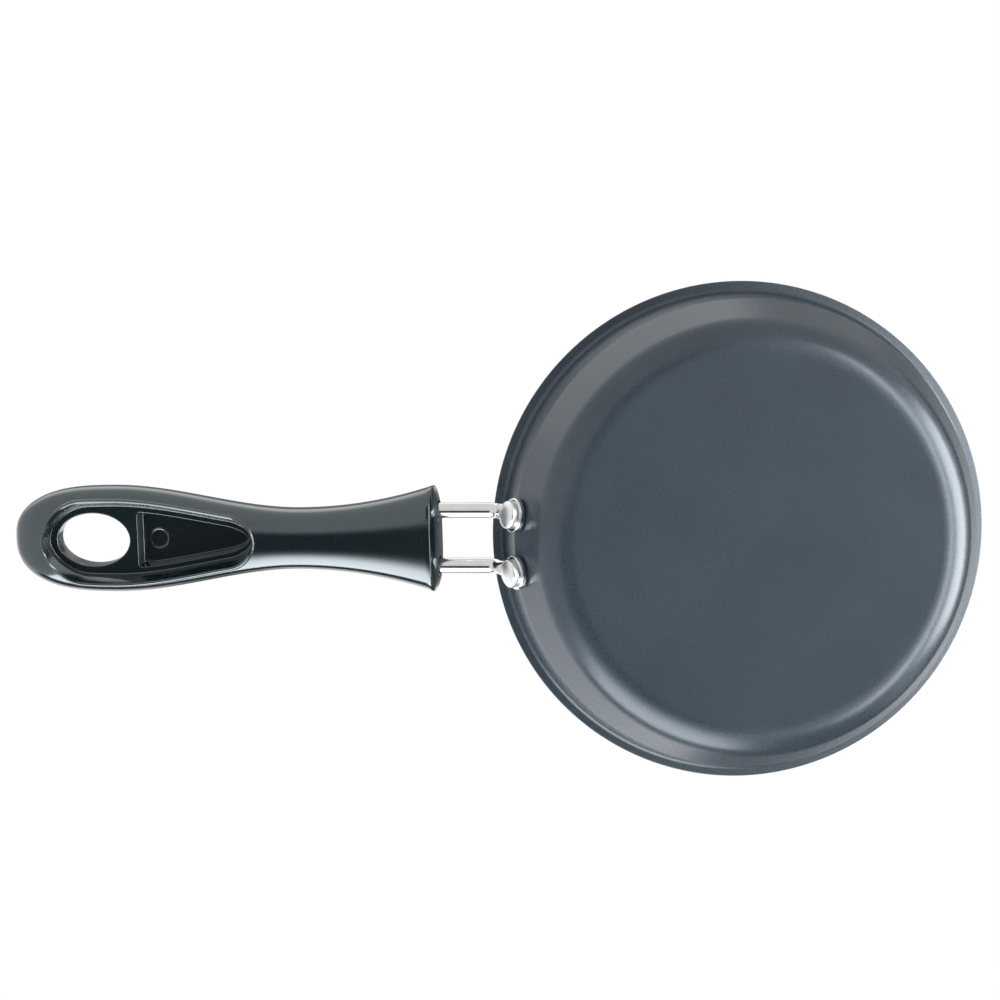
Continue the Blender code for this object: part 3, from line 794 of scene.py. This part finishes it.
def pocket_rows(grip):
    """Walls of the pocket: its outline moved inwards as it goes up, rounded at both edges."""
    outline = pocket_outline(grip)
    roof = grip.tail_above - grip.pocket_roof
    floor = -grip.recess_floor
    quarter = np.linspace(0.0, math.pi / 2, FILLET_POINTS)
    inset = np.concatenate(([-HOLE_MARGIN], HOLE_EDGE * (np.sin(quarter) - 1.0),
                            POCKET_DRAFT + POCKET_FILLET * (1.0 - np.cos(quarter)),
                            [POCKET_DRAFT + POCKET_MARGIN]))
    height = np.concatenate(([floor], floor + HOLE_EDGE * (1.0 - np.cos(quarter)),
                             roof - POCKET_FILLET * (1.0 - np.sin(quarter)), [roof]))
    rows = []
    for move, z in zip(inset, height):
        loop = mitred(outline, -move, closed=True)
        loop[:, 1] += middle_line(grip, loop[:, 0])
        rows.append(np.insert(loop, 2, z, axis=1))
    return np.array(rows)


def mark_rows(roof):
    """A low moulded ring on the pocket's roof: circles that step down from it and back."""
    swing = np.linspace(0.0, 2.0 * math.pi, MARK_SIDES, endpoint=False)
    radius = (MARK_RADIUS + MARK_STEP * np.array((3.0, 2.0, 1.0, 0.0, -1.0, -2.0)))[:, None]
    drop = (MARK_HEIGHT * np.array((0.0, 0.0, 1.0, 1.0, 0.0, 0.0)))[:, None]
    x = MARK_PLACE[0] + radius * np.cos(swing)
    y = MARK_PLACE[1] + radius * np.sin(swing)
    return np.stack((x, y, np.broadcast_to(roof - drop, x.shape)), axis=-1)


def socket_rows(settings):
    """The two bores as one tunnel: mouth, step and a circle carried round the wire's bend."""
    handle, grip = settings.handle, settings.grip
    bore = handle.wire / 2 + handle.clearance
    mouth, half = grip.mouth / 2, handle.spacing / 2
    end = handle.in_grip + half
    stops = (0.0, 0.0, MOUTH_EDGE, grip.mouth_depth, grip.mouth_depth)
    head = np.array([(stop, half, 0.0) for stop in stops])
    turn = rounded_path([head[-1], (end, half, 0.0), (end, 0.0, 0.0)], [handle.turn])
    path = np.vstack((head, turn[1:]))
    size = np.full(len(path), bore)
    size[:4] = (mouth + 2.0 * MOUTH_EDGE, mouth + MOUTH_EDGE, mouth, mouth)
    direction = np.tile((1.0, 0.0, 0.0), (len(path), 1))
    direction[len(head):] = unit(np.gradient(turn, travelled(turn), axis=0))[1:]
    direction[-1] = (0.0, -1.0, 0.0)
    up = np.array((0.0, 0.0, 1.0))
    side = np.cross(up, direction)
    swing = np.linspace(0.0, 2.0 * math.pi, BORE_SIDES, endpoint=False)
    rows = (path[:, None] + size[:, None, None]
            * (side[:, None] * np.cos(swing)[:, None] + up * np.sin(swing)[:, None]))
    return rows, rows * (1.0, -1.0, 1.0)


def make_grip(settings, phenolic):
    """Two half skins, the recess with its bead, the hang hole, the pocket, its ring, the bores."""
    grip = settings.grip
    left, right = half_skin(grip, 1.0), half_skin(grip, -1.0)
    recess, hole, pocket = recess_rows(grip), hole_rows(grip), pocket_rows(grip)
    mark = mark_rows(float(pocket[-1, 0, 2]))
    bores = socket_rows(settings)
    face = np.vstack((left[0], right[0, -2:0:-1]))
    sheets = [net(left, closed=False), net(right, closed=False)]
    sheets += [net(rows) for rows in (recess, hole, pocket, mark, *bores)]
    sheets += [
        flat_fill([recess[-1], hole[-1], pocket[0]], axis=2),
        flat_fill([pocket[-1], mark[0]], axis=2),
        flat_fill([mark[-1]], axis=2),
        flat_fill([face, bores[0][0], bores[1][0]], axis=0),
    ]
    place = grip_place(settings)
    sheets = [(placed(points, place), faces, 0) for points, faces in sheets]
    return closed_skin("handle_grip", sheets, [phenolic])


# Finishes


def set_inputs(tree, node, **inputs):
    """Each input given a value or joined to another node's output; _0 names the first input."""
    for key, value in inputs.items():
        socket = node.inputs[int(key[1:])] if key[0] == "_" else node.inputs[key.replace("_", " ")]
        if isinstance(value, bpy.types.NodeSocket):
            tree.links.new(value, socket)
        else:
            socket.default_value = value


def add_node(tree, kind, settings=None, **inputs):
    """A node with its settings and its inputs."""
    node = tree.nodes.new("ShaderNode" + kind)
    for key, value in (settings or {}).items():
        setattr(node, key, value)
    set_inputs(tree, node, **inputs)
    return node


def new_finish(name):
    """An empty material with a shader, its output and the surface's own coordinates."""
    material = bpy.data.materials.new(name)
    material.use_nodes = True
    tree = material.node_tree
    place = add_node(tree, "TexCoord").outputs["Object"]
    return material, tree, tree.nodes["Principled BSDF"], place


def grain(tree, place, scale, detail=2.0, roughness=0.5):
    """Cloudy noise in the piece's own coordinates, about 0 to 1."""
    return add_node(tree, "TexNoise", Vector=place, Scale=scale, Detail=detail,
                    Roughness=roughness).outputs["Fac"]


def between(tree, value, low, high, to_low, to_high):
    """The value's run from low to high spread over another run, and held outside it."""
    return add_node(tree, "MapRange", _0=value, _1=low, _2=high, _3=to_low, _4=to_high).outputs[0]


def specks(tree, place, scale, first, full, most):
    """Scattered grains: the tops of a fine noise, spread from nothing to the most."""
    return between(tree, grain(tree, place, scale, 1.0), first, full, 0.0, most)


def figured(tree, operation, *values):
    """One step of arithmetic on numbers and node outputs."""
    return add_node(tree, "Math", {"operation": operation},
                    **{f"_{i}": value for i, value in enumerate(values)}).outputs[0]


def run_along(tree, direction, axis):
    """How far a direction runs along an axis: the sum of their coordinates' products."""
    return add_node(tree, "VectorMath", {"operation": "DOT_PRODUCT"}, _0=direction,
                    _1=axis).outputs["Value"]


def mixed(tree, factor, first, second):
    """One colour turning into another as the factor rises."""
    first, second = (value if isinstance(value, bpy.types.NodeSocket) else (*value, 1.0)
                     for value in (first, second))
    return add_node(tree, "Mix", {"data_type": "RGBA"}, _0=factor, _6=first, _7=second).outputs[2]


def toned(tree, factor, colour, darkest, lightest):
    """A colour whose brightness rises with the factor, between two multiples of its own."""
    ends = [tuple(min(v * times, 1.0) for v in colour) for times in (darkest, lightest)]
    return mixed(tree, factor, *ends)


def bumped(tree, shader, height, strength, distance=GRAIN_DEPTH):
    """Fine relief that follows a pattern."""
    bump = add_node(tree, "Bump", Strength=strength, Distance=distance, Height=height)
    set_inputs(tree, shader, Normal=bump.outputs["Normal"])


def coated_steel(finish):
    """Blue-grey satin coating: slow clouds of tone, fine grain and scattered bright specks."""
    material, tree, shader, place = new_finish("coated_steel")
    clouds = between(tree, grain(tree, place, 38.0, 3.0), *CLOUD_MIDDLE, 0.0, 1.0)
    fine = grain(tree, place, 2600.0, 2.0, 0.6)
    bright = specks(tree, place, 3000.0, 0.66, 0.78, 0.25)
    dull = finish.coating_roughness
    set_inputs(tree, shader, Metallic=0.15,
               Base_Color=mixed(tree, bright, toned(tree, clouds, finish.coating, 0.92, 1.08),
                                COATING_SPECKS),
               Roughness=between(tree, fine, *NOISE_MIDDLE, dull - 0.05, dull + 0.06))
    bumped(tree, shader, fine, 0.35)
    return material


def nonstick_lining(finish):
    """Charcoal lining with a faint sparkle of lighter grains."""
    material, tree, shader, place = new_finish("nonstick_lining")
    clouds = between(tree, grain(tree, place, 45.0, 3.0), *CLOUD_MIDDLE, 0.0, 1.0)
    fine = grain(tree, place, 2200.0, 2.0, 0.6)
    bright = specks(tree, place, 1300.0, 0.68, 0.76, 0.35)
    set_inputs(tree, shader,
               Base_Color=mixed(tree, bright, toned(tree, clouds, finish.lining, 0.85, 1.15),
                                LINING_SPECKS),
               Roughness=between(tree, fine, *NOISE_MIDDLE, 0.34, 0.46))
    bumped(tree, shader, fine, 0.4)
    return material


def plated_wire(finish):
    """Bright plating over drawn wire, with faint lines along the prongs."""
    material, tree, shader, place = new_finish("plated_wire")
    stretched = add_node(tree, "Mapping", Vector=place, Scale=(30.0, 1400.0, 1400.0)).outputs[0]
    lines = grain(tree, stretched, 1.0)
    clouds = grain(tree, place, 420.0)
    set_inputs(tree, shader, Metallic=1.0,
               Base_Color=toned(tree, clouds, finish.wire, 0.94, 1.05),
               Roughness=between(tree, lines, *NOISE_MIDDLE, 0.09, 0.17))
    bumped(tree, shader, clouds, 0.1)
    return material


def pressed_aluminium(finish):
    """Soft bright metal with the small marks that the press leaves."""
    material, tree, shader, place = new_finish("pressed_aluminium")
    marks = grain(tree, place, 900.0, 3.0, 0.6)
    clouds = grain(tree, place, 260.0)
    set_inputs(tree, shader, Metallic=1.0,
               Base_Color=toned(tree, clouds, finish.rivet, 0.9, 1.05),
               Roughness=between(tree, marks, *NOISE_MIDDLE, 0.30, 0.42))
    bumped(tree, shader, marks, 0.25, PRESS_MARK_DEPTH)
    return material


def black_phenolic(finish, forward):
    """Glossy black moulding: a faint ripple, uneven gloss, a little fine dust and, where the
    surface looks forward along the prongs, the matt face left where the moulding was cut."""
    material, tree, shader, place = new_finish("black_phenolic")
    ripple = grain(tree, place, 160.0)
    fine = grain(tree, place, 1800.0, 2.0, 0.6)
    dusty = specks(tree, place, 2400.0, 0.72, 0.80, 0.30)
    dull = finish.grip_roughness
    rough = between(tree, fine, *NOISE_MIDDLE, dull - 0.03, dull + 0.05)
    cut = run_along(tree, add_node(tree, "TexCoord").outputs["Normal"], forward)
    cut = between(tree, cut, *CUT_LOOK, 0.0, 1.0)
    set_inputs(tree, shader, IOR=1.75, Specular_Tint=(0.80, 0.93, 1.0, 1.0), Coat_Roughness=0.08,
               Base_Color=mixed(tree, dusty, toned(tree, ripple, finish.grip, 0.85, 1.2), DUST),
               Roughness=figured(tree, "ADD", rough, figured(tree, "MULTIPLY", cut, CUT_DULLNESS)),
               Coat_Weight=between(tree, cut, 0.0, 1.0, GRIP_COAT, 0.0))
    bumped(tree, shader, fine, 0.12)
    return material


# Studio

# Lamps: name, middle of the panel, what it points at, width, height and brightness
LAMPS = (
    ("side_lamp", (-0.25, 0.70, -0.30), (-0.08, 0.0, 0.03), 1.00, 0.60, 2.2),
    ("right_lamp", (0.75, 0.10, -0.45), (0.0, 0.0, 0.02), 0.50, 0.60, 1.6),
    ("back_lamp", (0.55, 0.15, 0.85), (0.05, 0.0, 0.02), 0.60, 0.60, 2.0),
    ("top_lamp", (-0.20, -0.45, 0.95), (-0.06, 0.0, 0.02), 0.80, 0.80, 1.6),
)
# Boards far off that gloss alone shows: direction, then along X and across it the middle, half
# and soft edge as shares of the distance, and a brightness where 1 is white
BOARDS = (
    ((-0.03, -0.36, 0.93), (0.0, 0.35, 0.25), (0.0, 0.25, 0.45), 0.26),
    ((-0.32, -0.66, 0.68), (0.0, 0.45, 0.25), (0.0, 0.18, 0.20), 1.6),
    ((0.47, -0.43, 0.77), (0.0, 0.15, 0.20), (0.0, 0.20, 0.20), 0.5),
    ((0.80, 0.09, 0.55), (-0.10, 0.26, 0.10), (0.0, 0.50, 0.20), 0.15),
    ((-0.45, 0.50, 0.74), (0.0, 0.40, 0.30), (0.0, 0.40, 0.30), 1.5),
    ((0.35, 0.85, 0.20), (0.0, 0.28, 0.12), (0.0, 1.00, 0.20), 0.06),
    ((0.0, 0.301, -0.954), (-0.30, 0.50, 0.08), (0.0, 0.16, 0.30), 0.06),
    ((-0.14, -0.33, -0.93), (0.0, 0.17, 0.08), (0.0, 0.20, 0.12), 0.15),
    ((0.0, 0.985, -0.174), (-0.40, 0.46, 0.04), (0.0, 0.24, 0.75), 7.3),
    ((0.0, 0.940, 0.342), (-0.36, 0.44, 0.20), (0.0, 0.15, 0.12), 0.05),
    ((0.48, 0.10, -0.87), (0.0, 0.06, 0.28), (0.0, 0.60, 0.30), 1.7),
    ((0.66, 0.08, -0.75), (0.01, 0.07, 0.06), (0.0, 0.75, 0.20), 12.0),
    ((0.97, 0.05, -0.22), (0.0, 0.28, 0.12), (0.0, 0.42, 0.15), 14.0),
)
FLOOR_SIZE = 6.0
WHITE = (1.0, 1.0, 1.0, 1.0)
SOFT_LIGHT = (0.97, 0.985, 1.0, 1.0)
SOFT_STRENGTH = 0.60


def facing(place, target):
    """Axes of a panel at a place whose front looks at a target."""
    back = unit(np.array(place) - np.array(target))
    side = unit(np.cross((1.0, 0.0, 0.0) if abs(back[0]) < 0.9 else (0.0, 0.0, 1.0), back))
    return np.array((np.cross(side, back), side, back))


def add_lamp(name, place, target, width, height, brightness):
    """A soft panel lamp; its power is brightness times area times pi."""
    light = bpy.data.lights.new(name, "AREA")
    light.shape = "RECTANGLE"
    light.size, light.size_y = width, height
    light.energy = brightness * width * height * math.pi
    lamp = put(name, light)
    lamp.matrix_world = Matrix.LocRotScale(Vector(place), Matrix(facing(place, target).T), None)
    lamp.visible_camera = lamp.visible_glossy = False


def mixed_shaders(tree, factor, first, second):
    """One shader turning into another as the factor rises."""
    return add_node(tree, "MixShader", _0=factor, _1=first, _2=second).outputs[0]


def floor_finish(finish):
    """A pale floor seen from above only; from below and for every other ray it lets light by."""
    material = bpy.data.materials.new("pale_floor")
    material.use_nodes = True
    tree = material.node_tree
    tree.nodes.clear()
    place = add_node(tree, "TexCoord").outputs["Object"]
    tone = toned(tree, grain(tree, place, 6.0), finish.floor, 0.985, 1.0)
    matt = add_node(tree, "BsdfDiffuse", Color=tone).outputs[0]
    clear = add_node(tree, "BsdfTransparent").outputs[0]
    above = figured(tree, "SUBTRACT", 1.0, add_node(tree, "NewGeometry").outputs["Backfacing"])
    seen = figured(tree, "MULTIPLY", above, add_node(tree, "LightPath").outputs["Is Camera Ray"])
    add_node(tree, "OutputMaterial", Surface=mixed_shaders(tree, seen, clear, matt))
    return material


def add_floor(finish):
    """A level square of four corners under the pan."""
    corners = np.array(((-1, -1, 0), (1, -1, 0), (1, 1, 0), (-1, 1, 0))) * FLOOR_SIZE / 2
    mesh = bpy.data.meshes.new("floor")
    mesh.from_pydata(corners.tolist(), [], [(0, 1, 2, 3)])
    mesh.materials.append(floor_finish(finish))
    sheet = put("floor", mesh)


def studio_gloss(tree):
    """White all round, with each board laid over it: where a ray runs towards the board, its run
    over X and across it, each divided by its run towards the board, tells how near the ray
    passes to the board's middle, and a smooth fall from the half width outwards blends it in."""
    ray = add_node(tree, "TexCoord").outputs["Generated"]
    value = 1.0
    for toward, run, rise, brightness in BOARDS:
        toward = unit(np.array(toward))
        side = unit(np.array((1.0, 0.0, 0.0)) - toward[0] * toward)
        ahead = run_along(tree, ray, toward.tolist())
        cover = figured(tree, "GREATER_THAN", ahead, 0.0)
        for axis, (middle, half, soft) in ((side, run), (np.cross(toward, side), rise)):
            aside = figured(tree, "DIVIDE", run_along(tree, ray, axis.tolist()), ahead)
            aside = figured(tree, "ABSOLUTE", figured(tree, "SUBTRACT", aside, middle))
            edge = add_node(tree, "MapRange", {"interpolation_type": "SMOOTHSTEP"}, _0=aside,
                            _1=half, _2=half + soft, _3=1.0, _4=0.0).outputs[0]
            cover = figured(tree, "MULTIPLY", cover, edge)
        value = add_node(tree, "Mix", {"data_type": "FLOAT"}, _0=cover, _2=value,
                         _3=brightness).outputs[0]
    return value


def light_world():
    """White for the camera and glass, the boards for gloss, even grey light for the rest."""
    world = bpy.data.worlds.new("studio")
    bpy.context.scene.world = world
    world.use_nodes = True
    tree = world.node_tree
    tree.nodes.clear()
    rays = add_node(tree, "LightPath").outputs
    seen = figured(tree, "MAXIMUM", rays["Is Camera Ray"], rays["Is Transmission Ray"])
    soft, white, gloss = (
        add_node(tree, "Background", Color=colour, Strength=strength).outputs[0]
        for colour, strength in ((SOFT_LIGHT, SOFT_STRENGTH), (WHITE, 1.0),
                                 (WHITE, studio_gloss(tree))))
    surface = mixed_shaders(tree, rays["Is Glossy Ray"], soft, gloss)
    add_node(tree, "OutputWorld", Surface=mixed_shaders(tree, seen, surface, white))


def add_camera():
    """The photograph's view, from under the pan."""
    data = bpy.data.cameras.new("camera")
    data.lens, data.sensor_width = 127.836, 36.0
    camera = put("camera", data)
    camera.location = (-0.18986804, -0.09545704, -0.94891654)
    camera.rotation_euler = [math.radians(v) for v in (175.16633477, 7.18095866, 0.86869894)]
    bpy.context.scene.camera = camera


# Operators


class EGGPAN_OT_shell(bpy.types.Operator):
    """Make the pressed and coated shell of the pan"""
    bl_idname = "egg_pan.shell"
    bl_label = "Pan shell"

    def execute(self, context):
        settings = context.scene.egg_pan
        finish = settings.finish
        shell = make_shell(settings, coated_steel(finish), nonstick_lining(finish))
        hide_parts("pan_body")
        return {"FINISHED"}


class EGGPAN_OT_wire(bpy.types.Operator):
    """Make the bent wire with its two pressed eyes"""
    bl_idname = "egg_pan.wire"
    bl_label = "Handle wire"

    def execute(self, context):
        settings = context.scene.egg_pan
        wire = make_wire(settings, plated_wire(settings.finish))
        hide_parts("handle_wire")
        return {"FINISHED"}


class EGGPAN_OT_rivets(bpy.types.Operator):
    """Make the two rivets that hold the wire's eyes to the wall"""
    bl_idname = "egg_pan.rivets"
    bl_label = "Rivets"

    def execute(self, context):
        settings = context.scene.egg_pan
        aluminium = pressed_aluminium(settings.finish)
        for name, side in (("left", -1.0), ("right", 1.0)):
            rivet = make_rivet(settings, side, "riveted_" + name, aluminium)
            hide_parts("rivet_" + name)
        return {"FINISHED"}


class EGGPAN_OT_grip(bpy.types.Operator):
    """Make the moulded grip with its recess, pocket and hang hole"""
    bl_idname = "egg_pan.grip"
    bl_label = "Grip"

    def execute(self, context):
        settings = context.scene.egg_pan
        forward = (-handle_axes(settings.handle)[0]).tolist()
        grip = make_grip(settings, black_phenolic(settings.finish, forward))
        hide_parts("grip")
        return {"FINISHED"}


class EGGPAN_OT_studio(bpy.types.Operator):
    """Set up the floor, lamps, background and camera"""
    bl_idname = "egg_pan.studio"
    bl_label = "Studio"

    def execute(self, context):
        add_floor(context.scene.egg_pan.finish)
        for row in LAMPS:
            add_lamp(*row)
        light_world()
        add_camera()
        context.scene.view_settings.view_transform = "Standard"
        return {"FINISHED"}


class EGGPAN_PT_build(bpy.types.Panel):
    """Buttons and sizes of the egg pan"""
    bl_idname = "EGGPAN_PT_build"
    bl_label = "Egg pan"
    bl_space_type = "VIEW_3D"
    bl_region_type = "UI"
    bl_category = "Egg pan"

    def draw(self, context):
        settings = context.scene.egg_pan
        for operator in OPERATORS:
            self.layout.operator(operator.bl_idname)
        for group in (settings.pan, settings.handle, settings.rivet, settings.grip,
                      settings.finish):
            box = self.layout.box()
            for name in group.bl_rna.properties.keys():
                if name not in {"rna_type", "name"}:
                    box.prop(group, name)


OPERATORS = (EGGPAN_OT_shell, EGGPAN_OT_wire, EGGPAN_OT_rivets, EGGPAN_OT_grip, EGGPAN_OT_studio)
CLASSES = (EGGPAN_PG_pan, EGGPAN_PG_handle, EGGPAN_PG_rivet, EGGPAN_PG_grip, EGGPAN_PG_finish,
           EGGPAN_PG_settings, *OPERATORS, EGGPAN_PT_build)


def register():
    for cls in CLASSES:
        bpy.utils.register_class(cls)
    bpy.types.Scene.egg_pan = PointerProperty(type=EGGPAN_PG_settings)


def unregister():
    del bpy.types.Scene.egg_pan
    for cls in reversed(CLASSES):
        bpy.utils.unregister_class(cls)


def main():
    register()
    bpy.ops.egg_pan.shell()
    bpy.ops.egg_pan.wire()
    bpy.ops.egg_pan.rivets()
    bpy.ops.egg_pan.grip()
    bpy.ops.egg_pan.studio()


if __name__ == "__main__":
    main()
